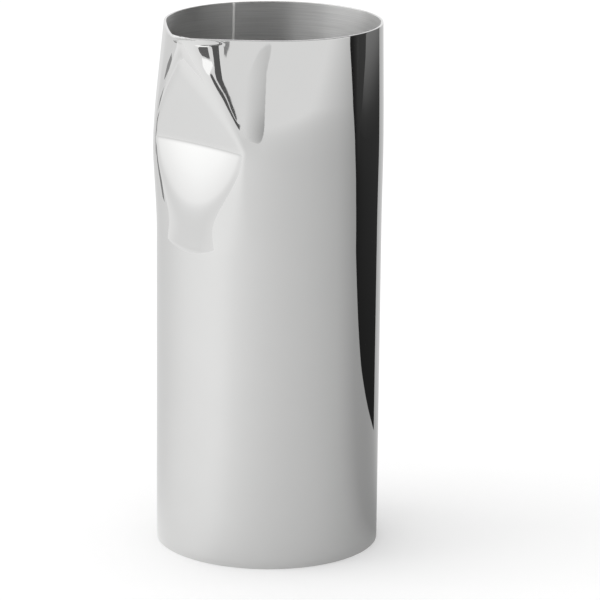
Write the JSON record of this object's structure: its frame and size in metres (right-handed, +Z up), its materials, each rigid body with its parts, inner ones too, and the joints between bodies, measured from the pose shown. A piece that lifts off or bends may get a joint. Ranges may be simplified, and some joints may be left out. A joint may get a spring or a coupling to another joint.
{
  "type": "pitcher",
  "caption": "Tall open round pitcher in polished sheet steel, its top folded into a pouring spout over a crease, with a pressed base set inside the foot.",
  "frame": {"origin": "centre of the foot, on the tube's axis, in the plane the pitcher stands on", "axes": "+Z up along the tube's axis, -Y towards the spout's tip, +X completes the right-handed set"},
  "size_m": [0.0918, 0.0977, 0.213],
  "materials": {
    "mirror_steel": "mirror polished outside, brushed round the bore inside",
    "satin_steel": "satin, brushed in rings",
    "weld_steel": "ground weld"
  },
  "bodies": {
    "root": {"body_shell": "mirror_steel", "side_seam": "weld_steel", "base_pan": "satin_steel", "base_weld": "weld_steel"}
  },
  "joints": []
}
